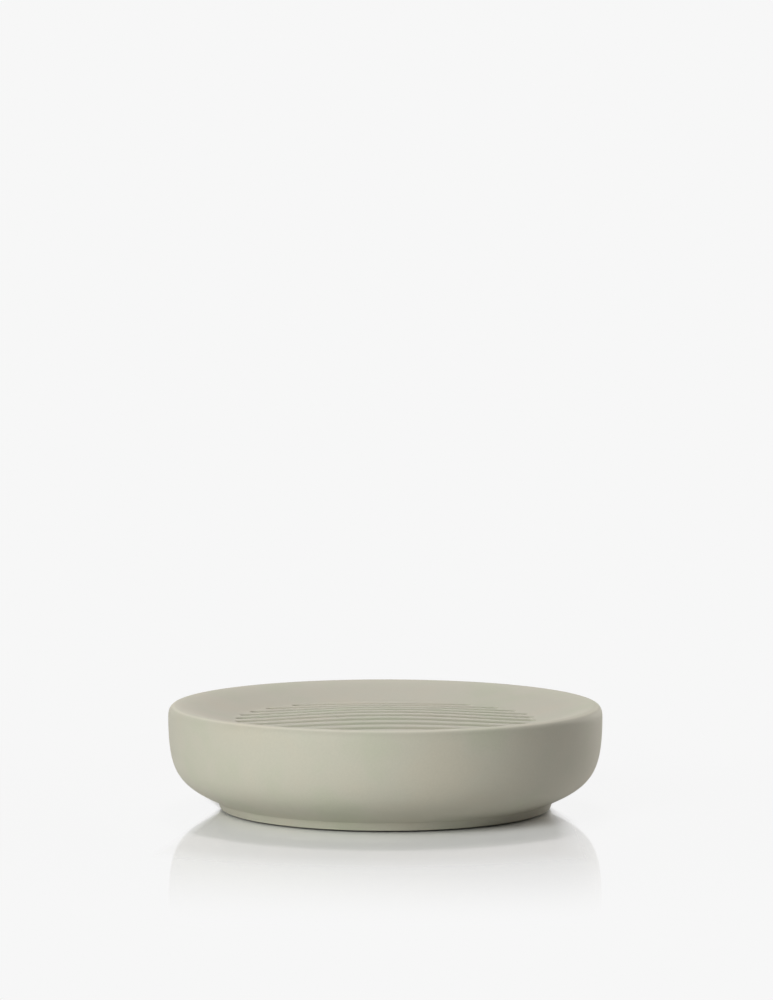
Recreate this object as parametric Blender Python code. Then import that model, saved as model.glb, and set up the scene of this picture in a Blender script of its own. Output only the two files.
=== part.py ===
"""Round stoneware soap dish with a domed, grooved floor.

Run with: blender --background --python part.py
Units are metres, +Z is up, and the dish stands on the plane Z = 0.
"""

import math

import bmesh
import bpy

# Outside of the dish
DISH_DIAMETER = 0.1200
DISH_HEIGHT = 0.0290
CREST_INSET = 0.0024
CREST_ABOVE_WIDEST = 0.0032
RIM_SIDE_HANDLE = 0.0021
RIM_TOP_HANDLE = 0.0017
WALL_SIDE_HANDLE = 0.0156
WALL_NECK_HANDLE = 0.0115
NECK_FLARE_ANGLE = math.radians(23.5)

# Neck and foot ring
NECK_INSET = 0.0134
NECK_ABOVE_FOOT = 0.0023
FOOT_TAPER = 0.0009
FOOT_WIDTH = 0.0017
FOOT_EDGE_ROUND = 0.0003

# Well and its grooved floor
CREST_ROUNDING = 0.0012
SLOPE_WIDTH = 0.0159
SLOPE_DROP = 0.0044
FLOOR_RISE = 0.0017
FLOOR_TROUGH_BEYOND = 0.0122
GROOVE_PITCH = 0.00712
GROOVE_WIDTH = 0.0038
GROOVE_DEPTH = 0.0015

# Cast wall, base and vent
CAST_WALL = 0.0043
BASE_WALL = 0.0040
VENT_DIAMETER = 0.0090
VENT_EDGE_CHAMFER = 0.0004
HOLLOW_CORNER_STEP = 0.0010

# Soft vent plug
PLUG_CLEARANCE = 0.0003
PLUG_HEAD_OVERLAP = 0.0020
PLUG_HEAD_THICKNESS = 0.0010
PLUG_BARB_OVERLAP = 0.0006
PLUG_BARB_HEIGHT = 0.0018
PLUG_EDGE_ROUND = 0.0003

# Anti-slip pads
PAD_COUNT = 4
PAD_DIAMETER = 0.0100
PAD_THICKNESS = 0.0020
PAD_STANDS_PROUD = 0.0005
PAD_GLUE_GAP = 0.0003
PAD_TO_FOOT_RING = 0.0025
PAD_EDGE_ROUND = 0.0005

# How finely the curves are divided
DISH_SEGMENTS = 64
SMALL_SEGMENTS = 24
WALL_STEPS = 13
RIM_STEPS = 7
SLOPE_STEPS = 7
SLOPE_RING_CROWDING = 1.5
FLOOR_STEPS = 6
EDGE_STEPS = 2
HOLLOW_WALL_STEPS = 7
HOLLOW_SLOPE_STEPS = 3
HOLLOW_FLOOR_STEPS = 3
GROOVE_SEGMENTS = 12
GROOVE_STATION_STEP = 0.012
GROOVE_END_STEPS = 3
MERGE_DISTANCE = 1e-6
CREASE_ANGLE = math.radians(35)
DOWNWARD = -math.pi / 2
INWARD = math.pi

# Sizes that follow from the ones above
DISH_RADIUS = DISH_DIAMETER / 2
CREST_RADIUS = DISH_RADIUS - CREST_INSET
WIDEST_HEIGHT = DISH_HEIGHT - CREST_ABOVE_WIDEST
FOOT_HEIGHT = PAD_STANDS_PROUD
NECK_RADIUS = DISH_RADIUS - NECK_INSET
NECK_HEIGHT = FOOT_HEIGHT + NECK_ABOVE_FOOT
FOOT_RADIUS = NECK_RADIUS - FOOT_TAPER
RECESS_RADIUS = FOOT_RADIUS - FOOT_WIDTH
RECESS_HEIGHT = PAD_THICKNESS + PAD_GLUE_GAP
BASE_TOP = RECESS_HEIGHT + BASE_WALL
FLOOR_RADIUS = CREST_RADIUS - SLOPE_WIDTH
FLOOR_EDGE_HEIGHT = DISH_HEIGHT - SLOPE_DROP
FLOOR_TROUGH_RADIUS = FLOOR_RADIUS + FLOOR_TROUGH_BEYOND
CEILING_DROP = GROOVE_DEPTH + CAST_WALL
VENT_RADIUS = VENT_DIAMETER / 2
GROOVE_RADIUS = (GROOVE_WIDTH ** 2 / 4 + GROOVE_DEPTH ** 2) / (2 * GROOVE_DEPTH)
PAD_RADIUS = PAD_DIAMETER / 2
PAD_CIRCLE_RADIUS = RECESS_RADIUS - PAD_TO_FOOT_RING - PAD_RADIUS


def clear_scene():
    """Remove every object that the scene starts with."""
    for item in list(bpy.data.objects):
        bpy.data.objects.remove(item)


def make_material(name, colour, roughness):
    """Return a Principled material with a linear base colour."""
    material = bpy.data.materials.new(name)
    material.use_nodes = True
    shader = material.node_tree.nodes["Principled BSDF"]
    shader.inputs["Base Color"].default_value = (*colour, 1.0)
    shader.inputs["Roughness"].default_value = roughness
    shader.inputs["Metallic"].default_value = 0.0
    return material


def bezier(start, start_handle, end_handle, end, steps):
    """Return steps + 1 points of a cubic Bezier curve in the (r, z) plane."""
    points = []
    for index in range(steps + 1):
        t = index / steps
        s = 1 - t
        weights = (s ** 3, 3 * s * s * t, 3 * s * t * t, t ** 3)
        corners = (start, start_handle, end_handle, end)
        r = sum(w * c[0] for w, c in zip(weights, corners))
        z = sum(w * c[1] for w, c in zip(weights, corners))
        points.append((r, z))
    return points


def quarter_round(centre, radius, start_angle, steps):
    """Return points of a quarter circle that runs anticlockwise in the (r, z) plane."""
    points = []
    for index in range(steps + 1):
        angle = start_angle + math.pi / 2 * index / steps
        points.append((centre[0] + radius * math.cos(angle), centre[1] + radius * math.sin(angle)))
    return points


def wall_outline(steps):
    """Return the outer wall, from the crease at the neck up to the widest point."""
    neck_handle = (
        NECK_RADIUS + WALL_NECK_HANDLE * math.cos(NECK_FLARE_ANGLE),
        NECK_HEIGHT + WALL_NECK_HANDLE * math.sin(NECK_FLARE_ANGLE),
    )
    side_handle = (DISH_RADIUS, WIDEST_HEIGHT - WALL_SIDE_HANDLE)
    neck = (NECK_RADIUS, NECK_HEIGHT)
    widest = (DISH_RADIUS, WIDEST_HEIGHT)
    return bezier(neck, neck_handle, side_handle, widest, steps)


def rim_outline():
    """Return the rim, from the widest point up and over to the crest."""
    side_handle = (DISH_RADIUS, WIDEST_HEIGHT + RIM_SIDE_HANDLE)
    top_handle = (CREST_RADIUS + RIM_TOP_HANDLE, DISH_HEIGHT)
    widest = (DISH_RADIUS, WIDEST_HEIGHT)
    crest = (CREST_RADIUS, DISH_HEIGHT)
    return bezier(widest, side_handle, top_handle, crest, RIM_STEPS)


def bell(radius):
    """Return how far the floor has fallen at this radius, 0 at the axis and 1 at the trough."""
    return 0.5 * (1 - math.cos(math.pi * radius / FLOOR_TROUGH_RADIUS))


def slope_fall(inward):
    """Return how far the slope has fallen this far inside the crest, for a unit gradient."""
    return math.hypot(inward, CREST_ROUNDING) - CREST_ROUNDING


def well_height(radius):
    """Return the height of the well's surface before the grooves are cut."""
    if radius <= FLOOR_RADIUS:
        return FLOOR_EDGE_HEIGHT + FLOOR_RISE * (1 - bell(radius) / bell(FLOOR_RADIUS))
    return DISH_HEIGHT - SLOPE_DROP * slope_fall(CREST_RADIUS - radius) / slope_fall(SLOPE_WIDTH)


def well_radii(slope_steps, floor_steps):
    """Return the radii of the well's rings, from just inside the crest, where they crowd, to the axis."""
    radii = []
    for index in range(slope_steps):
        share = ((index + 1) / slope_steps) ** SLOPE_RING_CROWDING
        radii.append(CREST_RADIUS - SLOPE_WIDTH * share)
    for index in range(floor_steps):
        radii.append(FLOOR_RADIUS * (1 - (index + 1) / floor_steps))
    return radii


def inner_side():
    """Return the hollow's side, a cast wall's thickness inside the outer wall."""
    wall = wall_outline(HOLLOW_WALL_STEPS)
    points = []
    for index, (r, z) in enumerate(wall):
        before = wall[max(index - 1, 0)]
        after = wall[min(index + 1, len(wall) - 1)]
        run = after[0] - before[0]
        rise = after[1] - before[1]
        length = math.hypot(run, rise)
        points.append((r - CAST_WALL * rise / length, z + CAST_WALL * run / length))
    return points


def hollow_outline():
    """Return the hollow inside the body, from the axis under the floor to the vent's top edge."""
    side = inner_side()
    ceiling = []
    for radius in reversed(well_radii(HOLLOW_SLOPE_STEPS, HOLLOW_FLOOR_STEPS)):
        if radius < side[-1][0] - HOLLOW_CORNER_STEP:
            ceiling.append((radius, well_height(radius) - CEILING_DROP))
    corner = (side[-1][0], well_height(side[-1][0]) - CEILING_DROP)
    highest = corner[1] - HOLLOW_CORNER_STEP
    lowered = [point for point in reversed(side) if BASE_TOP < point[1] < highest]
    outline = ceiling + [corner] + lowered
    outline.append((VENT_RADIUS + VENT_EDGE_CHAMFER, BASE_TOP))
    return outline


def foot_outline():
    """Return the recess roof and the foot ring, from the vent out to just below the neck."""
    outline = [(VENT_RADIUS, BASE_TOP - VENT_EDGE_CHAMFER), (VENT_RADIUS, RECESS_HEIGHT + VENT_EDGE_CHAMFER)]
    outline += [(VENT_RADIUS + VENT_EDGE_CHAMFER, RECESS_HEIGHT), (RECESS_RADIUS, RECESS_HEIGHT)]
    inner_centre = (RECESS_RADIUS + FOOT_EDGE_ROUND, FOOT_HEIGHT + FOOT_EDGE_ROUND)
    outer_centre = (FOOT_RADIUS - FOOT_EDGE_ROUND, FOOT_HEIGHT + FOOT_EDGE_ROUND)
    outline += quarter_round(inner_centre, FOOT_EDGE_ROUND, INWARD, EDGE_STEPS)
    outline += quarter_round(outer_centre, FOOT_EDGE_ROUND, DOWNWARD, EDGE_STEPS)
    return outline


def turned_mesh(name, outline, segments):
    """Spin an open (r, z) outline, or one that starts and ends on the axis, round Z into a closed mesh."""
    shape = bmesh.new()
    corners = [shape.verts.new((r, 0.0, z)) for r, z in outline]
    edges = [shape.edges.new(pair) for pair in zip(corners, corners[1:])]
    bmesh.ops.spin(
        shape,
        geom=corners + edges,
        cent=(0.0, 0.0, 0.0),
        axis=(0.0, 0.0, 1.0),
        angle=2 * math.pi,
        steps=segments,
        use_merge=True,
    )
    bmesh.ops.remove_doubles(shape, verts=shape.verts, dist=MERGE_DISTANCE)
    bmesh.ops.recalc_face_normals(shape, faces=shape.faces)
    mesh = bpy.data.meshes.new(name)
    shape.to_mesh(mesh)
    shape.free()
    mesh.shade_smooth()
    mesh.set_sharp_from_angle(angle=CREASE_ANGLE)
    return mesh


def add_object(name, mesh, material=None):
    """Link a mesh to the scene as a named object."""
    item = bpy.data.objects.new(name, mesh)
    bpy.context.scene.collection.objects.link(item)
    if material is not None:
        mesh.materials.append(material)
    return item


def groove_lines():
    """Return (y, half length) for each groove whose rounded ends lie inside the floor's circle."""
    reach = FLOOR_RADIUS - GROOVE_WIDTH / 2
    lines = []
    y = GROOVE_PITCH / 2
    while y < reach - GROOVE_WIDTH / 2:
        half_length = math.sqrt(reach ** 2 - y ** 2)
        lines += [(y, half_length), (-y, half_length)]
        y += GROOVE_PITCH
    return lines


def groove_stations(half_length):
    """Return (x, radius) for the rings of one groove's cutter, with a half ball at each end."""
    steps = max(2, math.ceil(2 * half_length / GROOVE_STATION_STEP))
    middle = [(-half_length + 2 * half_length * index / steps, GROOVE_RADIUS) for index in range(steps + 1)]
    end = []
    for index in range(1, GROOVE_END_STEPS):
        angle = math.pi / 2 * index / GROOVE_END_STEPS
        end.append((half_length + GROOVE_RADIUS * math.sin(angle), GROOVE_RADIUS * math.cos(angle)))
    start = [(-x, radius) for x, radius in reversed(end)]
    return start + middle + end


def groove_centre_height(x, y, half_length):
    """Return the height of a cutter's middle line, so that it sinks by the groove's depth."""
    along = max(-half_length, min(half_length, x))
    return well_height(math.hypot(along, y)) + GROOVE_RADIUS - GROOVE_DEPTH


def add_groove(shape, y, half_length):
    """Add one round-bottomed cutter that follows the floor at a constant y."""
    rings = []
    for x, radius in groove_stations(half_length):
        height = groove_centre_height(x, y, half_length)
        ring = []
        for index in range(GROOVE_SEGMENTS):
            angle = 2 * math.pi * (index + 0.5) / GROOVE_SEGMENTS
            ring.append(shape.verts.new((x, y + radius * math.cos(angle), height + radius * math.sin(angle))))
        rings.append(ring)
    for near, far in zip(rings, rings[1:]):
        for index in range(GROOVE_SEGMENTS):
            following = (index + 1) % GROOVE_SEGMENTS
            shape.faces.new((near[index], near[following], far[following], far[index]))
    tip_x = half_length + GROOVE_RADIUS
    tip_height = groove_centre_height(tip_x, y, half_length)
    for ring, x in ((rings[0], -tip_x), (rings[-1], tip_x)):
        tip = shape.verts.new((x, y, tip_height))
        for index in range(GROOVE_SEGMENTS):
            shape.faces.new((tip, ring[index], ring[(index + 1) % GROOVE_SEGMENTS]))


def build_groove_cutter():
    """Make the one cutter object that holds every groove."""
    shape = bmesh.new()
    for y, half_length in groove_lines():
        add_groove(shape, y, half_length)
    bmesh.ops.recalc_face_normals(shape, faces=shape.faces)
    mesh = bpy.data.meshes.new("groove_cutter")
    shape.to_mesh(mesh)
    shape.free()
    cutter = add_object("groove_cutter", mesh)
    cutter.display_type = "WIRE"
    cutter.hide_render = True
    return cutter


def build_body(material):
    """Make the one-piece hollow casting and cut the grooves in its floor."""
    outline = hollow_outline() + foot_outline() + wall_outline(WALL_STEPS) + rim_outline()[1:]
    outline += [(radius, well_height(radius)) for radius in well_radii(SLOPE_STEPS, FLOOR_STEPS)]
    body = add_object("dish_body", turned_mesh("dish_body", outline, DISH_SEGMENTS), material)
    cut = body.modifiers.new("grooves", "BOOLEAN")
    cut.operation = "DIFFERENCE"
    cut.solver = "EXACT"
    cut.object = build_groove_cutter()
    return body


def build_vent_plug(material):
    """Make the soft plug that closes the vent: a head below, a stem and a barb above the base."""
    stem_radius = VENT_RADIUS - PLUG_CLEARANCE
    head_radius = VENT_RADIUS + PLUG_HEAD_OVERLAP
    head_top = RECESS_HEIGHT - PLUG_CLEARANCE
    head_bottom = head_top - PLUG_HEAD_THICKNESS
    barb_bottom = BASE_TOP + PLUG_CLEARANCE
    barb_radius = VENT_RADIUS + PLUG_BARB_OVERLAP
    outline = [(0.0, head_bottom)]
    lower_centre = (head_radius - PLUG_EDGE_ROUND, head_bottom + PLUG_EDGE_ROUND)
    outline += quarter_round(lower_centre, PLUG_EDGE_ROUND, DOWNWARD, EDGE_STEPS)
    outline += [(head_radius, head_top), (stem_radius, head_top), (stem_radius, barb_bottom)]
    outline += [(barb_radius, barb_bottom), (stem_radius, barb_bottom + PLUG_BARB_HEIGHT)]
    outline.append((0.0, barb_bottom + PLUG_BARB_HEIGHT))
    return add_object("vent_plug", turned_mesh("vent_plug", outline, SMALL_SEGMENTS), material)


def build_pads(material):
    """Make the round pads, glued in the recess and standing proud of the foot ring."""
    outline = [(0.0, 0.0)]
    edge_centre = (PAD_RADIUS - PAD_EDGE_ROUND, PAD_EDGE_ROUND)
    outline += quarter_round(edge_centre, PAD_EDGE_ROUND, DOWNWARD, EDGE_STEPS)
    outline += [(PAD_RADIUS, PAD_THICKNESS), (0.0, PAD_THICKNESS)]
    pads = []
    for index in range(PAD_COUNT):
        angle = 2 * math.pi * (index + 0.5) / PAD_COUNT
        name = f"anti_slip_pad_{index + 1}"
        pad = add_object(name, turned_mesh(name, outline, SMALL_SEGMENTS), material)
        pad.location = (PAD_CIRCLE_RADIUS * math.cos(angle), PAD_CIRCLE_RADIUS * math.sin(angle), 0.0)
        pads.append(pad)
    return pads


def main():
    """Build every piece of the dish."""
    clear_scene()
    build_body(make_material("stoneware", (0.45, 0.43, 0.35), 0.6))
    build_vent_plug(make_material("plug_silicone", (0.55, 0.55, 0.53), 0.5))
    build_pads(make_material("pad_silicone", (0.62, 0.62, 0.60), 0.45))


main()
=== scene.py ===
"""Looks of a low round stoneware soap dish that stands on a polished white table.

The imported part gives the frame. The casting, the soft plug and the pads are rebuilt here with finer
curves and real finishes, in the same place and at the same size. The pieces' and finishes' lengths
are in millimetres, and those of the lamps, the table and every mesh are in metres.
"""

import logging
import math
from dataclasses import dataclass
from enum import Enum

import bmesh
import bpy
from bmesh.types import BMesh, BMVert
from bpy.types import ID, GeometryNodeTree, Material, Mesh, Node, NodeSocket, NodeTree, Object, World
from mathutils import Matrix, Vector
from mathutils.geometry import delaunay_2d_cdt


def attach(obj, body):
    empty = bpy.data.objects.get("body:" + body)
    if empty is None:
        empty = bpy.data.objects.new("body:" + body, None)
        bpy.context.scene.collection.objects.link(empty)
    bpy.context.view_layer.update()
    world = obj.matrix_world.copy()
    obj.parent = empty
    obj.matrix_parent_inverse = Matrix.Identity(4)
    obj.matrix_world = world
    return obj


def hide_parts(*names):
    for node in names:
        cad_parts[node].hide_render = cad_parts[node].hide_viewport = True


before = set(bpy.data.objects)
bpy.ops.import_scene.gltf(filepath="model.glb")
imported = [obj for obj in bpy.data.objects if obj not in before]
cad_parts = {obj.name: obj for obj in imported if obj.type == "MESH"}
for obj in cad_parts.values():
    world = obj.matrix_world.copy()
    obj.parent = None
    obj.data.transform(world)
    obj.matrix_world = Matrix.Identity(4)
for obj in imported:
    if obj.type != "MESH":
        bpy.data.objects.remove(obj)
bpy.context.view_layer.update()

LOG = logging.getLogger("soap_dish")
MM = 0.001
PHOTO_WIDTH = 773
PHOTO_HEIGHT = 1000
# The height that the camera and the lamps point at, in millimetres.
AIM_HEIGHT = 15.0
# A radius below this is on the axis, in millimetres.
AXIS_RADIUS = 1e-6
# Two roundings that share one side of an outline each take less than half of it.
SIDE_SHARE = 0.49

Pair = tuple[float, float]
Outline = list[Pair]


class Slot(Enum):
    """The record's material slots, by the piece that takes each."""

    BODY = "stoneware"
    PLUG = "plug_silicone"
    PADS = "pad_silicone"


def linear(hex_code: str) -> tuple[float, float, float, float]:
    """Turn an sRGB hex colour into linear values.

    Args:
        hex_code: Six hex digits after a hash sign.

    Returns:
        Red, green, blue and an alpha of 1.
    """
    channels = []
    for start in (1, 3, 5):
        value = int(hex_code[start : start + 2], 16) / 255
        channels.append(value / 12.92 if value <= 0.04045 else ((value + 0.055) / 1.055) ** 2.4)
    return (channels[0], channels[1], channels[2], 1.0)


def add_node(
    tree: NodeTree, kind: str, inputs: dict[str | int, object] | None = None, **settings: object
) -> Node:
    """Add one node to a tree, with its settings and its links or values.

    Args:
        tree: The shader or geometry tree that gets the node.
        kind: The node's type name.
        inputs: Input name or index to a value, or to the socket that feeds it.
        settings: The node's attributes, by name.

    Returns:
        The new node.
    """
    node = tree.nodes.new(kind)
    for name, value in settings.items():
        setattr(node, name, value)
    for key, value in (inputs or {}).items():
        if isinstance(value, NodeSocket):
            tree.links.new(value, node.inputs[key])
        else:
            node.inputs[key].default_value = value
    return node


def spans(source: Pair, target: Pair) -> dict[str, float]:
    """Return the inputs that map one span of values to another."""
    return dict(zip(("From Min", "From Max", "To Min", "To Max"), (*source, *target)))


def new_material(name: str) -> tuple[Material, NodeTree]:
    """Make an empty node material.

    Args:
        name: The material's name.

    Returns:
        The material and its node tree.
    """
    material = bpy.data.materials.new(name)
    material.use_nodes = True
    material.node_tree.nodes.clear()
    return material, material.node_tree


def seen_directly(tree: NodeTree) -> NodeSocket:
    """Return a factor that is 1 for what the camera sees, also in a mirror or through something clear.

    Args:
        tree: The shader tree.

    Returns:
        The socket with the factor, which is 0 for rays that light other things.
    """
    path = add_node(tree, "ShaderNodeLightPath")
    factor = path.outputs["Is Camera Ray"]
    for name in ("Is Glossy Ray", "Is Transmission Ray"):
        larger = add_node(
            tree, "ShaderNodeMath", {0: factor, 1: path.outputs[name]}, operation="MAXIMUM"
        )
        factor = larger.outputs[0]
    return factor


def bezier(corners: Outline, steps: int) -> Outline:
    """Sample a cubic Bezier curve.

    Args:
        corners: Start, start handle, end handle and end, each as (r, z).
        steps: How many equal steps of the parameter.

    Returns:
        The steps + 1 points.
    """
    points = []
    for index in range(steps + 1):
        t = index / steps
        s = 1 - t
        weights = (s**3, 3 * s * s * t, 3 * s * t * t, t**3)
        points.append(
            (
                sum(w * c[0] for w, c in zip(weights, corners)),
                sum(w * c[1] for w, c in zip(weights, corners)),
            )
        )
    return points


def rounded(outline: Outline, index: int, reach: float, steps: int) -> Outline:
    """Round one corner of an outline with a short curve.

    Args:
        outline: The points.
        index: Which point is the corner.
        reach: How far along each side the rounding starts.
        steps: How many steps the rounding has.

    Returns:
        The outline with the corner replaced.
    """
    before, corner, after = (Vector(outline[i]) for i in (index - 1, index, index + 1))
    start = corner + (before - corner).normalized() * min(reach, (before - corner).length * SIDE_SHARE)
    end = corner + (after - corner).normalized() * min(reach, (after - corner).length * SIDE_SHARE)
    arc = []
    for step in range(steps + 1):
        t = step / steps
        point = start * (1 - t) ** 2 + corner * 2 * t * (1 - t) + end * t**2
        arc.append((point.x, point.y))
    return outline[:index] + arc + outline[index + 1 :]


def smooth_larger(first: float, second: float, blend: float) -> float:
    """Return the larger of two heights, blended where they differ by less than the blend."""
    near = max(blend - abs(first - second), 0.0) / blend
    return max(first, second) + near**3 * blend / 6


def smoothstep(share: float) -> float:
    """Ease a share from 0 to 1 so that it starts and ends gently."""
    return share * share * (3 - 2 * share)


def spun_rows(shape: BMesh, outline: Outline, segments: int) -> list[list[BMVert]]:
    """Add the rings of a turned surface and the faces between them.

    Args:
        shape: The mesh being built.
        outline: Points as (r, z) in millimetres. A point on the axis gives one vertex.
        segments: How many sides each ring has.

    Returns:
        One list of vertices for each point.
    """
    rows = []
    for r, z in outline:
        if r < AXIS_RADIUS:
            rows.append([shape.verts.new((0.0, 0.0, z * MM))])
            continue
        row = []
        for index in range(segments):
            angle = 2 * math.pi * index / segments
            row.append(shape.verts.new((r * MM * math.cos(angle), r * MM * math.sin(angle), z * MM)))
        rows.append(row)
    for inner, outer in zip(rows, rows[1:]):
        for index in range(segments):
            following = (index + 1) % segments
            if len(inner) == 1:
                shape.faces.new((inner[0], outer[following], outer[index]))
            elif len(outer) == 1:
                shape.faces.new((inner[index], inner[following], outer[0]))
            else:
                shape.faces.new((inner[index], inner[following], outer[following], outer[index]))
    return rows


def finished_mesh(shape: BMesh, name: str) -> Mesh:
    """Turn a bmesh into a smooth mesh whose faces point outwards.

    Args:
        shape: The mesh being built, which is freed.
        name: The new mesh's name.

    Returns:
        The mesh.
    """
    bmesh.ops.recalc_face_normals(shape, faces=shape.faces)
    mesh = bpy.data.meshes.new(name)
    shape.to_mesh(mesh)
    shape.free()
    mesh.shade_smooth()
    return mesh


def placed(name: str, data: ID) -> Object:
    """Link data to the scene as an object at the origin.

    Args:
        name: The object's name.
        data: Its mesh, light or camera.

    Returns:
        The object.
    """
    item = bpy.data.objects.new(name, data)
    bpy.context.scene.collection.objects.link(item)
    return item


def direction(azimuth: float, elevation: float) -> Vector:
    """Return the way out from the dish at an angle right of the front and one above level."""
    level = math.cos(elevation)
    return Vector((math.sin(azimuth) * level, -math.cos(azimuth) * level, math.sin(elevation)))


def run_nodes(item: Object, tree: GeometryNodeTree, values: dict[str, object]) -> None:
    """Run a geometry tree on an object and keep its result as a plain mesh.

    Args:
        item: The object, whose mesh is replaced.
        tree: The geometry tree.
        values: Input name to value, or to a material.
    """
    modifier = item.modifiers.new(tree.name, "NODES")
    modifier.node_group = tree
    for socket in tree.interface.items_tree:
        if socket.item_type == "SOCKET" and socket.in_out == "INPUT" and socket.name in values:
            modifier[socket.identifier] = values[socket.name]
    item.update_tag()
    bpy.context.view_layer.update()
    evaluated = item.evaluated_get(bpy.context.evaluated_depsgraph_get())
    mesh = bpy.data.meshes.new_from_object(evaluated)
    mesh.name = item.data.name + "_made"
    item.modifiers.remove(modifier)
    item.data = mesh


def new_tree(name: str, inputs: dict[str, str]) -> tuple[GeometryNodeTree, Node]:
    """Start a geometry tree with a geometry in and out, and named inputs.

    Args:
        name: The tree's name.
        inputs: Input name to socket type, apart from the geometry.

    Returns:
        The tree and its group input node.
    """
    tree = bpy.data.node_groups.new(name, "GeometryNodeTree")
    tree.interface.new_socket(name="Geometry", in_out="INPUT", socket_type="NodeSocketGeometry")
    for title, kind in inputs.items():
        tree.interface.new_socket(name=title, in_out="INPUT", socket_type=kind)
    tree.interface.new_socket(name="Geometry", in_out="OUTPUT", socket_type="NodeSocketGeometry")
    return tree, add_node(tree, "NodeGroupInput")


def end_tree(tree: GeometryNodeTree, given: Node, made: NodeSocket) -> None:
    """Dress what a geometry tree has made and send it out.

    Args:
        tree: The geometry tree.
        given: Its group input node, which has the material.
        made: The socket with the geometry.
    """
    whole = add_node(tree, "GeometryNodeRealizeInstances", {0: made})
    dressed = add_node(
        tree, "GeometryNodeSetMaterial", {0: whole.outputs[0], "Material": given.outputs["Material"]}
    )
    add_node(tree, "NodeGroupOutput", {0: dressed.outputs[0]})


@dataclass(frozen=True)
class StonewareFinish:
    """Slip-cast stoneware under a thin matte coating that feels soft.

    The coating hides the clay's gloss, so the eye sees an even sage grey with a broad dull sheen
    and a very fine dry grain. A painted highlight makes the colour paler along the rim's edge and,
    more faintly, down the upper slope inside it. The real grain is about 0.1 mm and the pinholes 0.3 mm.
    Both are too fine for the picture, so they are drawn at grain_mm and pore_mm. The clouds keep the
    true size of a sprayed coat's patches, about 2 cm.
    """

    coat_hex: str = "#B4B1A3"
    cool_hex: str = "#B0B09F"
    warm_hex: str = "#B6B1A2"
    roughness_span: Pair = (0.55, 0.69)
    ior: float = 1.46
    specular_level: float = 0.4
    cloud_mm: float = 22.0
    cloud_span: Pair = (0.34, 0.68)
    grain_mm: float = 0.55
    grain_height_mm: float = 0.006
    grain_strength: float = 0.5
    fleck_noise: Pair = (0.3, 0.7)
    fleck_span: Pair = (0.975, 1.02)
    dull_noise: Pair = (0.25, 0.75)
    pore_mm: float = 1.6
    pore_height_mm: float = 0.008
    pore_strength: float = 0.4
    # Painted highlight: how much paler the colour gets along the rim, and the attribute that holds its
    # share.
    highlight_paler: float = 0.23
    highlight_attribute: str = "painted_rim_highlight"

    def material(self) -> Material:
        """Build the finish.

        Returns:
            The material.
        """
        material, tree = new_material("matte_coated_stoneware")
        place = add_node(tree, "ShaderNodeTexCoord").outputs["Object"]
        cloud = add_node(
            tree,
            "ShaderNodeTexNoise",
            {"Vector": place, "Scale": 1 / (self.cloud_mm * MM), "Detail": 3.0, "Roughness": 0.55},
        )
        tone = add_node(tree, "ShaderNodeValToRGB", {"Fac": cloud.outputs["Fac"]})
        cool, warm = tone.color_ramp.elements
        cool.position, warm.position = self.cloud_span
        cool.color, warm.color = linear(self.cool_hex), linear(self.warm_hex)
        tone.color_ramp.elements.new(0.5).color = linear(self.coat_hex)
        grain = add_node(
            tree,
            "ShaderNodeTexNoise",
            {"Vector": place, "Scale": 1 / (self.grain_mm * MM), "Detail": 2.0, "Roughness": 0.6},
        )
        pores = add_node(
            tree,
            "ShaderNodeTexVoronoi",
            {"Vector": place, "Scale": 1 / (self.pore_mm * MM), "Smoothness": 0.6},
            feature="SMOOTH_F1",
        )
        fleck = add_node(
            tree,
            "ShaderNodeMapRange",
            {"Value": grain.outputs["Fac"]} | spans(self.fleck_noise, self.fleck_span),
        )
        colour = add_node(
            tree,
            "ShaderNodeMix",
            {"Factor": 1.0, "A": tone.outputs["Color"], "B": fleck.outputs["Result"]},
            data_type="RGBA",
            blend_type="MULTIPLY",
        )
        # Painted highlight: the colour is made paler by the share that the casting stores along the rim's
        # edge and down the upper slope.
        thin = add_node(tree, "ShaderNodeAttribute", attribute_name=self.highlight_attribute)
        paler = add_node(
            tree,
            "ShaderNodeMapRange",
            {"Value": thin.outputs["Fac"]} | spans((0.0, 1.0), (1.0, 1.0 + self.highlight_paler)),
        )
        highlighted = add_node(
            tree,
            "ShaderNodeVectorMath",
            {0: colour.outputs[2], "Scale": paler.outputs["Result"]},
            operation="SCALE",
        )
        dullness = add_node(
            tree,
            "ShaderNodeMapRange",
            {"Value": grain.outputs["Fac"]} | spans(self.dull_noise, self.roughness_span),
        )
        fine = add_node(
            tree,
            "ShaderNodeBump",
            {
                "Strength": self.grain_strength,
                "Distance": self.grain_height_mm * MM,
                "Height": grain.outputs["Fac"],
            },
        )
        bump = add_node(
            tree,
            "ShaderNodeBump",
            {
                "Strength": self.pore_strength,
                "Distance": self.pore_height_mm * MM,
                "Height": pores.outputs["Distance"],
                "Normal": fine.outputs["Normal"],
            },
        )
        shader = add_node(
            tree,
            "ShaderNodeBsdfPrincipled",
            {
                "Base Color": highlighted.outputs[0],
                "Roughness": dullness.outputs["Result"],
                "IOR": self.ior,
                "Specular IOR Level": self.specular_level,
                "Normal": bump.outputs["Normal"],
            },
        )
        add_node(tree, "ShaderNodeOutputMaterial", {"Surface": shader.outputs["BSDF"]})
        return material


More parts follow.
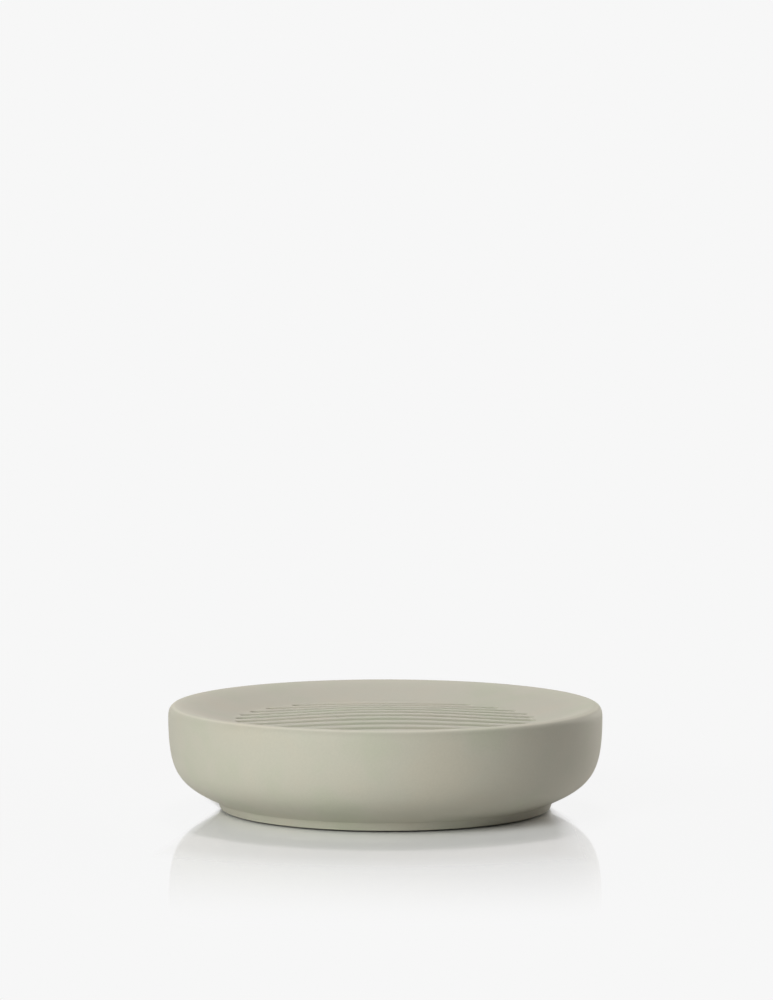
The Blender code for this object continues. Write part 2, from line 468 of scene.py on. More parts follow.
@dataclass(frozen=True)
class SiliconeFinish:
    """Moulded silicone rubber, milky and slightly see-through at thin edges, with a satin skin.

    Light enters the rubber, so the eye sees a soft edge instead of a sharp one, and dust that clings
    in faint patches. The mould's real texture is about 0.05 mm, too fine to show, so it is drawn at
    skin_mm.
    """

    name: str
    base_hex: str
    roughness_span: Pair
    ior: float = 1.41
    light_inside: float = 0.25
    depth_mm: float = 0.8
    depth_by_colour: tuple[float, float, float] = (1.0, 0.95, 0.85)
    skin_mm: float = 0.35
    skin_height_mm: float = 0.01
    skin_strength: float = 0.3
    dust_mm: float = 3.0
    dust_noise: Pair = (0.3, 0.7)
    dust_tone: Pair = (0.93, 1.0)

    def material(self) -> Material:
        """Build the finish.

        Returns:
            The material.
        """
        material, tree = new_material(self.name)
        place = add_node(tree, "ShaderNodeTexCoord").outputs["Object"]
        dust = add_node(
            tree,
            "ShaderNodeTexNoise",
            {"Vector": place, "Scale": 1 / (self.dust_mm * MM), "Detail": 4.0},
        )
        tone = add_node(
            tree,
            "ShaderNodeMapRange",
            {"Value": dust.outputs["Fac"]} | spans(self.dust_noise, self.dust_tone),
        )
        colour = add_node(
            tree,
            "ShaderNodeMix",
            {"Factor": 1.0, "A": linear(self.base_hex), "B": tone.outputs["Result"]},
            data_type="RGBA",
            blend_type="MULTIPLY",
        )
        skin = add_node(
            tree,
            "ShaderNodeTexNoise",
            {"Vector": place, "Scale": 1 / (self.skin_mm * MM), "Detail": 2.0},
        )
        gloss = add_node(
            tree,
            "ShaderNodeMapRange",
            {"Value": dust.outputs["Fac"]} | spans((0.0, 1.0), self.roughness_span),
        )
        bump = add_node(
            tree,
            "ShaderNodeBump",
            {
                "Strength": self.skin_strength,
                "Distance": self.skin_height_mm * MM,
                "Height": skin.outputs["Fac"],
            },
        )
        shader = add_node(
            tree,
            "ShaderNodeBsdfPrincipled",
            {
                "Base Color": colour.outputs[2],
                "Roughness": gloss.outputs["Result"],
                "IOR": self.ior,
                "Subsurface Weight": self.light_inside,
                "Subsurface Radius": self.depth_by_colour,
                "Subsurface Scale": self.depth_mm * MM,
                "Normal": bump.outputs["Normal"],
            },
        )
        add_node(tree, "ShaderNodeOutputMaterial", {"Surface": shader.outputs["BSDF"]})
        return material


@dataclass(frozen=True)
class TableFinish:
    """Polished white acrylic, which shows a soft image of what stands on it, over a painted glow.

    The sheet has a smooth clear skin, so the eye sees a grey mirror image that fades within a hand's
    width. The glow is painted light. It is dim close to the foot and dark under it, so the real shadows
    there and the dark line under the foot ring show. It is bright behind the dish and to both sides of it,
    where it paints over the dish's shadows, and the dim zone's sides spread and soften away from the
    dish's middle. Further off the sheet and the white backdrop run together without an edge. The glow is
    for camera and mirror rays alone and lights nothing.
    """

    sheet_hex: str = "#F7F7F7"
    skin_ior: float = 1.49
    skin_roughness: float = 0.05
    skin_cover: float = 0.64
    glow_share: float = 0.95
    dim_share: float = 0.3
    # Each ramp is where the painted glow starts to brighten and where it is at its brightest.
    dim_ramp_mm: Pair = (46.0, 60.0)
    front_ramp_mm: Pair = (74.0, 108.0)
    back_ramp_mm: Pair = (46.0, 68.0)
    back_start_mm: Pair = (0.0, 20.0)
    far_ramp_mm: Pair = (78.0, 185.0)
    side_ramp_mm: Pair = (44.5, 46.5)
    # How far a side ramp's start and end move out for each millimetre off the dish's middle.
    left_spread: Pair = (0.1, 0.22)
    right_spread: Pair = (-0.12, 0.2)
    right_limit_mm: float = 51.5

    def ramp(
        self,
        tree: NodeTree,
        distance: NodeSocket,
        reach: tuple[float | NodeSocket, ...],
        top: float | NodeSocket,
    ) -> NodeSocket:
        """Return a value that eases from 0 to a top value over a span of distances.

        Args:
            tree: The shader tree.
            distance: The socket with the distance, in millimetres.
            reach: Where the value leaves 0 and where it reaches the top, in millimetres.
            top: The top value.

        Returns:
            The socket with the value.
        """
        eased = add_node(
            tree,
            "ShaderNodeMapRange",
            {"Value": distance, "From Min": reach[0], "From Max": reach[1], "To Max": top},
            interpolation_type="SMOOTHSTEP",
        )
        return eased.outputs["Result"]

    def painted_glow(self, tree: NodeTree, place: NodeSocket) -> NodeSocket:
        """Return how bright the painted glow is at a place.

        Args:
            tree: The shader tree.
            place: The socket with the place on the table, in millimetres from the dish's axis.

        Returns:
            The socket with the brightness, 1 for white.
        """
        axes = add_node(tree, "ShaderNodeSeparateXYZ", {0: place})
        away = add_node(tree, "ShaderNodeVectorMath", {0: place}, operation="LENGTH")
        known = {"x": axes.outputs["X"], "y": axes.outputs["Y"], "away": away.outputs["Value"]}
        start, end = self.side_ramp_mm
        steps = (
            ("off middle", "ABSOLUTE", "y"),
            ("left", "MULTIPLY", "x", -1.0),
            ("left start", "MULTIPLY_ADD", "off middle", self.left_spread[0], start),
            ("left end", "MULTIPLY_ADD", "off middle", self.left_spread[1], end),
            ("right start", "MULTIPLY_ADD", "off middle", self.right_spread[0], start),
            ("right spread", "MULTIPLY_ADD", "off middle", self.right_spread[1], end),
            ("right end", "MINIMUM", "right spread", self.right_limit_mm),
        )
        for title, operation, *terms in steps:
            node = add_node(
                tree,
                "ShaderNodeMath",
                {index: known.get(term, term) for index, term in enumerate(terms)},
                operation=operation,
                label=title,
            )
            known[title] = node.outputs[0]
        behind = self.ramp(tree, known["y"], self.back_start_mm, self.glow_share)
        brightest = self.ramp(tree, known["away"], self.dim_ramp_mm, self.dim_share)
        for eased in (
            self.ramp(tree, known["away"], self.front_ramp_mm, self.glow_share),
            self.ramp(tree, known["away"], self.back_ramp_mm, behind),
            self.ramp(tree, known["left"], (known["left start"], known["left end"]), self.glow_share),
            self.ramp(tree, known["x"], (known["right start"], known["right end"]), self.glow_share),
        ):
            larger = add_node(tree, "ShaderNodeMath", {0: brightest, 1: eased}, operation="MAXIMUM")
            brightest = larger.outputs[0]
        return brightest

    def material(self) -> Material:
        """Build the finish.

        Returns:
            The material.
        """
        material, tree = new_material("polished_white_acrylic")
        seen = seen_directly(tree)
        place = add_node(
            tree,
            "ShaderNodeVectorMath",
            {0: add_node(tree, "ShaderNodeTexCoord").outputs["Object"], "Scale": 1 / MM},
            operation="SCALE",
        ).outputs[0]
        # The painted glow's share for camera and mirror rays, which paints over the dish's shadows beside
        # and behind it.
        share = add_node(
            tree, "ShaderNodeMath", {0: seen, 1: self.painted_glow(tree, place)}, operation="MULTIPLY"
        )
        lit = add_node(
            tree,
            "ShaderNodeMix",
            {"Factor": share.outputs[0], "A": linear(self.sheet_hex), "B": linear("#000000")},
            data_type="RGBA",
        )
        sheet = add_node(
            tree,
            "ShaderNodeBsdfPrincipled",
            {
                "Base Color": lit.outputs[2],
                "Specular IOR Level": 0.0,
                "Roughness": 1.0,
                "Emission Color": linear(self.sheet_hex),
                "Emission Strength": share.outputs[0],
                "Coat Weight": self.skin_cover,
                "Coat IOR": self.skin_ior,
                "Coat Roughness": self.skin_roughness,
            },
        )
        glow = add_node(
            tree, "ShaderNodeEmission", {"Color": linear(self.sheet_hex), "Strength": 1.0}
        )
        away = add_node(tree, "ShaderNodeVectorMath", {0: place}, operation="LENGTH")
        beyond = add_node(
            tree,
            "ShaderNodeMath",
            {0: self.ramp(tree, away.outputs["Value"], self.far_ramp_mm, 1.0), 1: seen},
            operation="MULTIPLY",
        )
        mixed = add_node(
            tree,
            "ShaderNodeMixShader",
            {0: beyond.outputs[0], 1: sheet.outputs["BSDF"], 2: glow.outputs[0]},
        )
        add_node(tree, "ShaderNodeOutputMaterial", {"Surface": mixed.outputs[0]})
        return material


@dataclass
class Casting:
    """The hollow stoneware body: wall, rim, well with a grooved floor, neck and foot ring."""

    # The outline, from the rim down to the foot ring.
    radius: float = 60.0
    height: float = 29.0
    crest_inset: float = 2.4
    crest_above_widest: float = 3.2
    rim_side_handle: float = 2.1
    rim_top_handle: float = 1.7
    wall_side_handle: float = 15.6
    wall_neck_handle: float = 11.5
    neck_flare: float = math.radians(23.5)
    neck_radius: float = 46.6
    neck_height: float = 2.8
    neck_round: float = 0.25
    neck_below_crease: Pair = (0.7, 0.2)
    foot_radius: float = 45.7
    foot_width: float = 1.7
    foot_height: float = 0.5
    foot_round: float = 0.35
    recess_height: float = 2.3
    # The well and the grooves in its floor.
    slope_width: float = 15.9
    slope_drop: float = 4.4
    crest_rounding: float = 1.2
    floor_rise: float = 1.7
    floor_trough_beyond: float = 12.2
    floor_blend: float = 0.6
    groove_pitch: float = 7.12
    groove_width: float = 3.8
    groove_depth: float = 1.5
    groove_lip: float = 0.3
    # The hollow inside and the vent.
    cast_wall: float = 4.3
    ceiling_radii: tuple[float, ...] = (0.0, 7.0, 14.0, 21.0, 28.0, 35.0, 44.0, 48.0, 52.0)
    ceiling_gap: float = 1.0
    base_wall: float = 4.0
    vent_radius: float = 4.5
    vent_chamfer: float = 0.4
    # Where the painted highlight lies: along the rim's edge, and fading down the slope.
    highlight_lip: float = 0.75
    highlight_slope: float = 9.0
    highlight_slope_share: float = 0.4
    # How finely the turned surface and the floor are divided, and where they meet.
    seam_beyond_floor: float = 1.9
    segments: int = 256
    wall_steps: int = 48
    hollow_steps: int = 26
    rim_steps: int = 22
    well_steps: int = 22
    floor_step: float = 1.0
    floor_merge: float = 1e-5
    seam_gap: float = 0.6
    end_gap: float = 0.4
    end_reach: float = 0.75
    end_steps: int = 6
    across_shares: tuple[float, ...] = (
        0.0, 0.18, 0.35, 0.5, 0.65, 0.77, 0.86, 0.94, 1.01, 1.08, 1.18, 1.36
    )
    finish: StonewareFinish = StonewareFinish()

    @property
    def crest_radius(self) -> float:
        """Radius of the rim's highest ring."""
        return self.radius - self.crest_inset

    @property
    def floor_radius(self) -> float:
        """Radius of the circle that the grooves stay inside."""
        return self.crest_radius - self.slope_width

    @property
    def rim_edge(self) -> Pair:
        """Radius and height of the ring three quarters of the way up the rim's curve."""
        return self.rim(4)[3]

    @property
    def seam_radius(self) -> float:
        """Radius of the ring where the turned surface meets the floor's own mesh."""
        return self.floor_radius + self.seam_beyond_floor

    @property
    def groove_cutter_radius(self) -> float:
        """Radius of the round tool that would cut such a groove."""
        return (self.groove_width**2 / 4 + self.groove_depth**2) / (2 * self.groove_depth)

    def well_height(self, r: float) -> float:
        """Return the well's height before the grooves.

        Args:
            r: The distance from the axis.

        Returns:
            The height.
        """
        trough = self.floor_radius + self.floor_trough_beyond
        low = self.height - self.slope_drop

        def fallen(radius: float) -> float:
            """Return how far the floor has fallen, 0 at the axis and 1 at the trough."""
            return 0.5 * (1 - math.cos(math.pi * min(radius, trough) / trough))

        floor = low + self.floor_rise * (1 - fallen(r) / fallen(self.floor_radius))
        soft = self.crest_rounding
        inward = max(self.crest_radius - r, 0.0)
        gradient = self.slope_drop / (math.hypot(self.slope_width, soft) - soft)
        slope = self.height - gradient * (math.hypot(inward, soft) - soft)
        return smooth_larger(floor, slope, self.floor_blend)

    def wall(self, steps: int) -> Outline:
        """Return the outer wall.

        Args:
            steps: How many steps the curve has.

        Returns:
            The points from the neck up to the widest ring.
        """
        widest = (self.radius, self.height - self.crest_above_widest)
        neck = (self.neck_radius, self.neck_height)
        neck_handle = (
            neck[0] + self.wall_neck_handle * math.cos(self.neck_flare),
            neck[1] + self.wall_neck_handle * math.sin(self.neck_flare),
        )
        return bezier([neck, neck_handle, (widest[0], widest[1] - self.wall_side_handle), widest], steps)

    def rim(self, steps: int) -> Outline:
        """Return the rim.

        Args:
            steps: How many steps the curve has.

        Returns:
            The points from the widest ring up and over to the crest.
        """
        widest = (self.radius, self.height - self.crest_above_widest)
        crest = (self.crest_radius, self.height)
        side_handle = (widest[0], widest[1] + self.rim_side_handle)
        return bezier([widest, side_handle, (crest[0] + self.rim_top_handle, crest[1]), crest], steps)

    def rim_highlight_share(self, r: float, z: float) -> float:
        """Return how strong the painted highlight is at a place.

        Args:
            r: The distance from the axis.
            z: The height.

        Returns:
            A share from 0 on the wall and floor to 1 along the rim's edge.
        """
        edge_r, edge_z = self.rim_edge
        lip = max(1 - math.hypot(r - edge_r, z - edge_z) / self.highlight_lip, 0.0)
        slope = lip
        if r < edge_r and z > self.height - self.slope_drop:
            slope = max(1 - (edge_r - r) / self.highlight_slope, 0.0)
        lip_share = 1 - self.highlight_slope_share
        return lip_share * smoothstep(lip) + self.highlight_slope_share * smoothstep(slope)

    def hollow(self) -> Outline:
        """Return the hollow inside.

        Returns:
            The points from the axis under the floor round to the vent.
        """
        drop = self.groove_depth + self.cast_wall
        wall = self.wall(self.hollow_steps)
        side = []
        for index, (r, z) in enumerate(wall):
            before = wall[max(index - 1, 0)]
            after = wall[min(index + 1, len(wall) - 1)]
            run, rise = after[0] - before[0], after[1] - before[1]
            length = math.hypot(run, rise)
            side.append((r - self.cast_wall * rise / length, z + self.cast_wall * run / length))
        outer = side[-1][0]
        base_top = self.recess_height + self.base_wall
        corner = (outer, self.well_height(outer) - drop)
        ceiling = [(r, self.well_height(r) - drop) for r in self.ceiling_radii]
        top = corner[1] - self.ceiling_gap
        lowered = [point for point in reversed(side) if base_top < point[1] < top]
        return ceiling + [corner] + lowered[::2] + [(self.vent_radius + self.vent_chamfer, base_top)]

    def foot(self) -> Outline:
        """Return the underside.

        Returns:
            The points of the vent, the recess and the foot ring, out to the neck's rounding.
        """
        base_top = self.recess_height + self.base_wall
        inner = self.foot_radius - self.foot_width
        outwards, down = self.neck_below_crease
        outline = [
            (self.vent_radius, base_top - self.vent_chamfer),
            (self.vent_radius, self.recess_height + self.vent_chamfer),
            (self.vent_radius + self.vent_chamfer, self.recess_height),
            (inner / 2, self.recess_height),
            (inner, self.recess_height),
            (inner, self.foot_height),
            (self.foot_radius, self.foot_height),
            (self.foot_radius + outwards, self.neck_height - down),
            *self.wall(self.wall_steps)[:2],
        ]
        # Each corner's index, reach and steps, the last corner first, so that the indices hold.
        neck = (8, self.neck_round, 3)
        ring = ((6, self.foot_round, 5), (5, self.foot_round, 4), (4, self.foot_round, 4))
        for corner, reach, steps in (neck, *ring):
            outline = rounded(outline, corner, reach, steps)
        return outline[:-1]

    def turned_outline(self) -> Outline:
        """Return the whole turned outline.

        Returns:
            The points from the axis in the hollow round to the seam with the floor's mesh.
        """
        outline = self.hollow() + self.foot()
        outline += self.wall(self.wall_steps)[1:] + self.rim(self.rim_steps)[1:]
        reach = self.crest_radius - self.seam_radius
        for index in range(1, self.well_steps + 1):
            r = self.crest_radius - reach * index / self.well_steps
            outline.append((r, self.well_height(r)))
        return outline

    def groove_rows(self) -> list[Pair]:
        """Return the grooves whose rounded ends fit inside the floor's circle.

        Returns:
            The y of each groove and half the distance between the centres of its ends.
        """
        reach = self.floor_radius - self.groove_width / 2
        rows = []
        y = self.groove_pitch / 2
        while y < reach - self.groove_width / 2:
            rows += [(y, math.sqrt(reach**2 - y**2)), (-y, math.sqrt(reach**2 - y**2))]
            y += self.groove_pitch
        return rows

    def floor_points(self) -> list[Pair]:
        """Return the plan of the floor's inner vertices.

        Returns:
            The (x, y) of each vertex, in rows along the grooves and in rings at their ends.
        """
        across = [share * self.groove_width / 2 for share in self.across_shares]
        round_end = self.end_reach * self.groove_width
        ends = self.groove_rows()
        limit = self.seam_radius - self.floor_step * self.seam_gap
        points = []
        rows = []
        count = math.ceil(limit / self.groove_pitch)
        for number in range(-count, count):
            middle = (number + 0.5) * self.groove_pitch
            rows += [middle + side * offset for offset in across for side in (-1, 1) if offset or side > 0]
            rows.append((number + 1) * self.groove_pitch)
        for y in rows:
            for column in range(-math.ceil(limit), math.ceil(limit) + 1):
                x = column * self.floor_step
                if math.hypot(x, y) > limit:
                    continue
                if any(
                    abs(x) > half - self.floor_step * self.end_gap
                    and math.hypot(abs(x) - half, y - row) < round_end
                    for row, half in ends
                ):
                    continue
                points.append((x, y))
        for row, half in ends:
            for side in (-1, 1):
                points.append((side * half, row))
                for offset in across[1:-1]:
                    for step in range(-self.end_steps, self.end_steps + 1):
                        angle = math.pi / 2 * step / self.end_steps
                        x = side * (half + offset * math.cos(angle))
                        y = row + offset * math.sin(angle)
                        if math.hypot(x, y) < limit:
                            points.append((x, y))
        return points

    def mesh(self) -> Mesh:
        """Build the smooth casting.

        Returns:
            The mesh, with attributes for the grooved floor and for the painted rim highlight.
        """
        shape = bmesh.new()
        mask = shape.verts.layers.float.new("grooved")
        # This layer holds the painted rim highlight's share on each vertex.
        thin = shape.verts.layers.float.new(self.finish.highlight_attribute)
        seam = spun_rows(shape, self.turned_outline(), self.segments)[-1]
        count = len(seam)
        border = [(vert.co.x / MM, vert.co.y / MM) for vert in seam]
        inner = self.floor_points()
        plan = [Vector(point) for point in border + inner]
        edges = [(index, (index + 1) % count) for index in range(count)]
        # The 1 keeps the triangles inside the border.
        verts, _, faces, sources, _, _ = delaunay_2d_cdt(plan, edges, [], 1, self.floor_merge)
        made = []
        for point, origin in zip(verts, sources):
            first = min(origin) if origin else -1
            if 0 <= first < count:
                made.append(seam[first])
                continue
            height = self.well_height(point.length)
            vert = shape.verts.new((point.x * MM, point.y * MM, height * MM))
            vert[mask] = 1.0
            made.append(vert)
        for face in faces:
            shape.faces.new([made[index] for index in face])
        # Each vertex gets its share of the painted rim highlight.
        for vert in shape.verts:
            vert[thin] = self.rim_highlight_share(vert.co.xy.length / MM, vert.co.z / MM)
        return finished_mesh(shape, "casting")

    def groove_tree(self) -> GeometryNodeTree:
        """Build the tree that sinks round-bottomed grooves into the masked floor.

        Returns:
            The tree.
        """
        lengths = ("Pitch", "Reach", "Last Row", "Tool Radius", "Depth", "Lip")
        sockets = dict.fromkeys(lengths, "NodeSocketFloat") | {"Material": "NodeSocketMaterial"}
        tree, given = new_tree("floor_grooves", sockets)
        position = add_node(tree, "GeometryNodeInputPosition").outputs[0]
        axes = add_node(tree, "ShaderNodeSeparateXYZ", {0: position})
        mask = add_node(
            tree, "GeometryNodeInputNamedAttribute", {"Name": "grooved"}, data_type="FLOAT"
        )
        known = {name: given.outputs[name] for name in lengths}
        known |= {"x": axes.outputs["X"], "y": axes.outputs["Y"], "on floor": mask.outputs["Attribute"]}
        steps = (
            ("pitches", "DIVIDE", "y", "Pitch"),
            ("row", "FLOOR", "pitches"),
            ("row and half", "ADD", "row", 0.5),
            ("middle", "MULTIPLY", "row and half", "Pitch"),
            ("aside", "SUBTRACT", "y", "middle"),
            ("aside squared", "MULTIPLY", "aside", "aside"),
            ("reach squared", "MULTIPLY", "Reach", "Reach"),
            ("middle squared", "MULTIPLY", "middle", "middle"),
            ("half squared", "SUBTRACT", "reach squared", "middle squared"),
            ("half squared kept", "MAXIMUM", "half squared", 0.0),
            ("half", "SQRT", "half squared kept"),
            ("along", "ABSOLUTE", "x"),
            ("beyond", "SUBTRACT", "along", "half"),
            ("past end", "MAXIMUM", "beyond", 0.0),
            ("past squared", "MULTIPLY", "past end", "past end"),
            ("away squared", "ADD", "past squared", "aside squared"),
            ("tool squared", "MULTIPLY", "Tool Radius", "Tool Radius"),
            ("chord squared", "SUBTRACT", "tool squared", "away squared"),
            ("chord squared kept", "MAXIMUM", "chord squared", 0.0),
            ("chord", "SQRT", "chord squared kept"),
            ("tool above", "SUBTRACT", "Tool Radius", "Depth"),
            ("below", "SUBTRACT", "chord", "tool above"),
            ("cut", "SMOOTH_MAX", "below", 0.0, "Lip"),
            ("from middle", "ABSOLUTE", "middle"),
            ("is row", "LESS_THAN", "from middle", "Last Row"),
            ("cut in row", "MULTIPLY", "cut", "is row"),
            ("cut on floor", "MULTIPLY", "cut in row", "on floor"),
            ("sunk", "MULTIPLY", "cut on floor", -1.0),
        )
        for title, operation, *terms in steps:
            node = add_node(
                tree,
                "ShaderNodeMath",
                {index: known.get(term, term) for index, term in enumerate(terms)},
                operation=operation,
                label=title,
            )
            known[title] = node.outputs[0]
        offset = add_node(tree, "ShaderNodeCombineXYZ", {"Z": known["sunk"]})
        moved = add_node(
            tree,
            "GeometryNodeSetPosition",
            {"Geometry": given.outputs["Geometry"], "Offset": offset.outputs[0]},
        )
        end_tree(tree, given, moved.outputs[0])
        return tree

    def build(self) -> Object:
        """Build the casting, groove it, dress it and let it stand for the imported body.

        Returns:
            The object.
        """
        item = placed("casting", self.mesh())
        reach = self.floor_radius - self.groove_width / 2
        run_nodes(
            item,
            self.groove_tree(),
            {
                "Pitch": self.groove_pitch * MM,
                "Reach": reach * MM,
                "Last Row": (reach - self.groove_width / 2) * MM,
                "Tool Radius": self.groove_cutter_radius * MM,
                "Depth": self.groove_depth * MM,
                "Lip": self.groove_lip * MM,
                "Material": self.finish.material(),
            },
        )
        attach(item, "root")
        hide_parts("dish_body")
        return item


@dataclass
class VentPlug:
    """The soft plug that closes the vent: a round head, a stem and a barb inside."""

    head_radius: float = 6.5
    head_bottom: float = 1.0
    head_top: float = 2.0
    stem_radius: float = 4.2
    barb_radius: float = 5.1
    barb_bottom: float = 6.6
    barb_top: float = 8.4
    barb_taper: float = 0.4
    dimple_radius: float = 2.6
    dimple_depth: float = 0.35
    dimple_handles: Pair = (0.6, 0.7)
    dimple_steps: int = 8
    edge_round: float = 0.28
    edge_steps: int = 4
    segments: int = 64
    finish: SiliconeFinish = SiliconeFinish("grey_silicone", "#8C8D88", (0.4, 0.56))

    def outline(self) -> Outline:
        """Return the plug's outline.

        Returns:
            The points from its underside to its top.
        """
        inner, outer = (self.dimple_radius * share for share in self.dimple_handles)
        dimple_top = self.head_bottom + self.dimple_depth
        dimple = bezier(
            [
                (0.0, dimple_top),
                (inner, dimple_top),
                (outer, self.head_bottom),
                (self.dimple_radius, self.head_bottom),
            ],
            self.dimple_steps,
        )
        outline = dimple + [
            (self.head_radius, self.head_bottom),
            (self.head_radius, self.head_top),
            (self.stem_radius, self.head_top),
            (self.stem_radius, self.barb_bottom),
            (self.barb_radius, self.barb_bottom),
            (self.stem_radius - self.barb_taper, self.barb_top),
            (0.0, self.barb_top),
        ]
        for index in range(len(outline) - 2, len(dimple) - 1, -1):
            outline = rounded(outline, index, self.edge_round, self.edge_steps)
        return outline

    def build(self) -> Object:
        """Build and dress the plug.

        Returns:
            The object.
        """
        shape = bmesh.new()
        spun_rows(shape, self.outline(), self.segments)
        item = placed("soft_vent_plug", finished_mesh(shape, "soft_vent_plug"))
        item.data.materials.append(self.finish.material())
        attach(item, "root")
        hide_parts("vent_plug")
        return item


@dataclass
class SlipPads:
    """The round stick-on pads in the recess, which lift the foot ring off the table."""

    count: int = 4
    radius: float = 5.0
    thickness: float = 2.0
    edge_round: float = 0.5
    edge_steps: int = 8
    top_round: float = 0.12
    top_steps: int = 3
    circle_radius: float = 36.5
    segments: int = 64
    finish: SiliconeFinish = SiliconeFinish("clear_silicone", "#C9CAC4", (0.28, 0.44))

    def outline(self) -> Outline:
        """Return one pad's outline.

        Returns:
            The points from its underside to its glued top.
        """
        top = self.thickness
        outline = [(0.0, 0.0), (self.radius, 0.0), (self.radius, top), (0.0, top)]
        outline = rounded(outline, 2, self.top_round, self.top_steps)
        return rounded(outline, 1, self.edge_round, self.edge_steps)

    def ring_tree(self) -> GeometryNodeTree:
        """Build the tree that sets copies of one pad evenly round a circle.

        Returns:
            The tree.
        """
        tree, given = new_tree(
            "pad_ring",
            {
                "Count": "NodeSocketInt",
                "Circle Radius": "NodeSocketFloat",
                "Turn": "NodeSocketVector",
                "Material": "NodeSocketMaterial",
            },
        )
        ring = add_node(
            tree,
            "GeometryNodeMeshCircle",
            {"Vertices": given.outputs["Count"], "Radius": given.outputs["Circle Radius"]},
        )
        turned = add_node(
            tree,
            "GeometryNodeTransform",
            {"Geometry": ring.outputs[0], "Rotation": given.outputs["Turn"]},
        )
        copies = add_node(
            tree,
            "GeometryNodeInstanceOnPoints",
            {"Points": turned.outputs[0], "Instance": given.outputs["Geometry"]},
        )
        end_tree(tree, given, copies.outputs[0])
        return tree

    def build(self) -> Object:
        """Build and dress the ring of pads.

        Returns:
            The object.
        """
        shape = bmesh.new()
        spun_rows(shape, self.outline(), self.segments)
        item = placed("slip_pads", finished_mesh(shape, "slip_pads"))
        material = self.finish.material()
        item.data.materials.append(material)
        run_nodes(
            item,
            self.ring_tree(),
            {
                "Count": self.count,
                "Circle Radius": self.circle_radius * MM,
                "Turn": (0.0, 0.0, math.pi / self.count),
                "Material": material,
            },
        )
        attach(item, "root")
        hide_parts(*[f"anti_slip_pad_{index + 1}" for index in range(self.count)])
        return item


@dataclass(frozen=True)
class Lamp:
    """One soft box: where it stands, in degrees and metres, its size, its power and its tint."""

    name: str
    azimuth: float
    elevation: float
    distance: float
    width: float
    height: float
    power: float
    tint_hex: str

    def build(self) -> Object:
        """Add the lamp, facing the dish.

        Returns:
            The object.
        """
        data = bpy.data.lights.new(self.name, "AREA")
        data.shape = "RECTANGLE"
        data.size = self.width
        data.size_y = self.height
        data.energy = self.power
        data.color = linear(self.tint_hex)[:3]
        item = placed(self.name, data)
        away = direction(math.radians(self.azimuth), math.radians(self.elevation))
        item.location = away * self.distance + Vector((0.0, 0.0, AIM_HEIGHT * MM))
        item.rotation_euler = (-away).to_track_quat("-Z", "Y").to_euler()
        return item


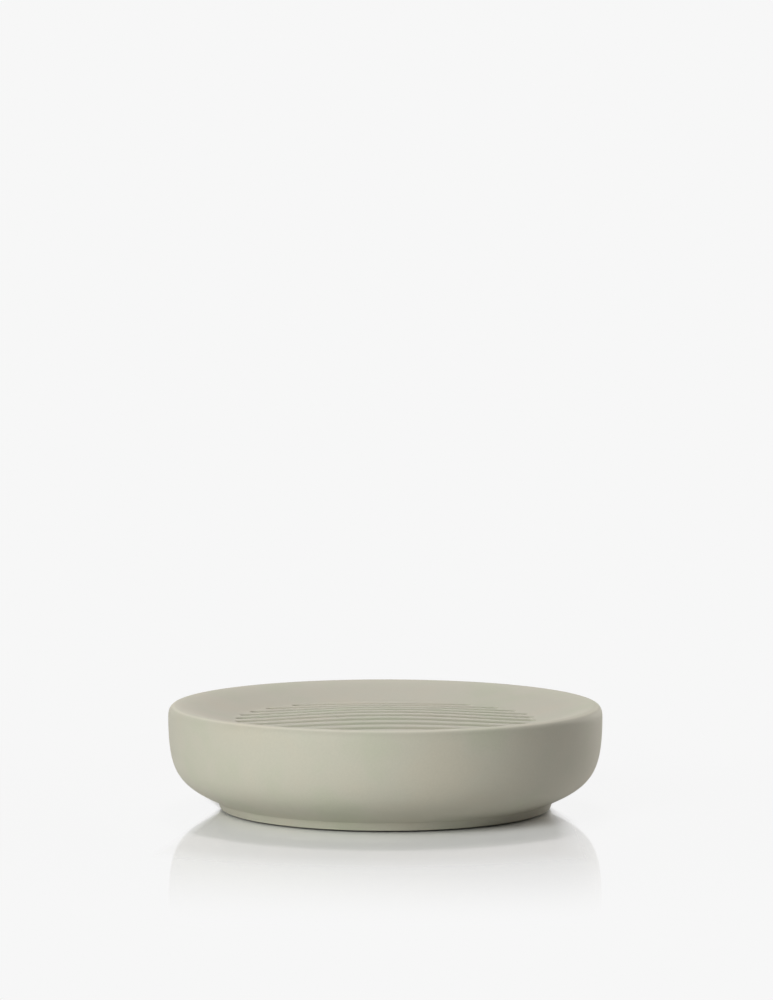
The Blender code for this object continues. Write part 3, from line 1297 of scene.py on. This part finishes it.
@dataclass
class Studio:
    """The white table, the lamps, the surroundings and the camera."""

    table_size: float = 6.0
    surround_hex: str = "#F7F7F7"
    fill_strength: float = 0.02
    finish: TableFinish = TableFinish()
    lamps: tuple[Lamp, ...] = (
        Lamp("key_low_left", -43.0, 12.0, 1.2, 0.6, 0.6, 5.3, "#FCFFFB"),
        Lamp("key_mid_left", -35.0, 31.0, 1.2, 0.6, 0.6, 7.6, "#FCFFFB"),
        Lamp("back_high", 180.0, 66.0, 1.2, 0.5, 0.5, 4.2, "#FFFAFC"),
        Lamp("back_small", 178.0, 62.9, 1.2, 0.12, 0.12, 3.4, "#FFFAFC"),
        Lamp("low_right", 135.0, 9.0, 1.2, 0.6, 0.6, 6.2, "#FFF9F0"),
    )
    # The camera's angles, and the photograph's scale and framing in pixels.
    elevation: float = math.radians(7.7)
    azimuth: float = math.radians(-2.0)
    focal_px: float = 4000.0
    px_per_mm: float = 3.604
    drop_px: float = 253.8
    aside_px: float = 1.0
    roll: float = math.radians(-0.04)

    def camera(self) -> Object:
        """Add the camera at the photograph's viewing angle and framing.

        Returns:
            The object.
        """
        distance = self.focal_px / self.px_per_mm * MM
        aim = Vector((0.0, 0.0, AIM_HEIGHT * MM))
        back = direction(self.azimuth, self.elevation)
        ahead = -back
        right = ahead.cross(Vector((0.0, 0.0, 1.0))).normalized()
        up = right.cross(ahead)
        lift = Matrix.Rotation(math.atan(self.drop_px / self.focal_px), 3, right)
        ahead, up = lift @ ahead, lift @ up
        swing = Matrix.Rotation(-math.atan(self.aside_px / self.focal_px), 3, up)
        ahead, right = swing @ ahead, swing @ right
        tilt = Matrix.Rotation(self.roll, 3, ahead)
        right, up = tilt @ right, tilt @ up
        data = bpy.data.cameras.new("photo_camera")
        data.sensor_width = 36.0
        data.lens = self.focal_px * data.sensor_width / max(PHOTO_WIDTH, PHOTO_HEIGHT)
        data.clip_start = 0.05
        item = placed("photo_camera", data)
        turn = Matrix((right, up, -ahead)).transposed().to_4x4()
        turn.translation = aim + back * distance
        item.matrix_world = turn
        bpy.context.scene.camera = item
        return item

    def surroundings(self) -> World:
        """Set a soft even fill, and white for what the camera and mirrors see beyond the table.

        Returns:
            The world.
        """
        world = bpy.data.worlds.new("white_studio")
        world.use_nodes = True
        tree = world.node_tree
        tree.nodes.clear()
        fill = add_node(
            tree,
            "ShaderNodeBackground",
            {"Color": linear(self.surround_hex), "Strength": self.fill_strength},
        )
        white = add_node(
            tree, "ShaderNodeBackground", {"Color": linear(self.surround_hex), "Strength": 1.0}
        )
        mixed = add_node(
            tree,
            "ShaderNodeMixShader",
            {0: seen_directly(tree), 1: fill.outputs[0], 2: white.outputs[0]},
        )
        add_node(tree, "ShaderNodeOutputWorld", {"Surface": mixed.outputs[0]})
        bpy.context.scene.world = world
        return world

    def table(self) -> Object:
        """Add the table top at the height that the pads stand on.

        Returns:
            The object.
        """
        shape = bmesh.new()
        bmesh.ops.create_grid(shape, x_segments=1, y_segments=1, size=self.table_size / 2)
        mesh = bpy.data.meshes.new("table_top")
        shape.to_mesh(mesh)
        shape.free()
        item = placed("table_top", mesh)
        mesh.materials.append(self.finish.material())
        return item

    def build(self) -> None:
        """Set up the whole studio."""
        bpy.context.scene.view_settings.view_transform = "Standard"
        self.table()
        self.surroundings()
        for lamp in self.lamps:
            lamp.build()
        self.camera()


def main() -> None:
    """Build every piece in order and report each one."""
    logging.basicConfig(level=logging.INFO, format="%(name)s: %(message)s")
    for maker in (Casting(), VentPlug(), SlipPads()):
        item = maker.build()
        triangles = sum(len(polygon.vertices) - 2 for polygon in item.data.polygons)
        LOG.info("%s: %d triangles", item.name, triangles)
    Studio().build()


if __name__ == "__main__":
    main()
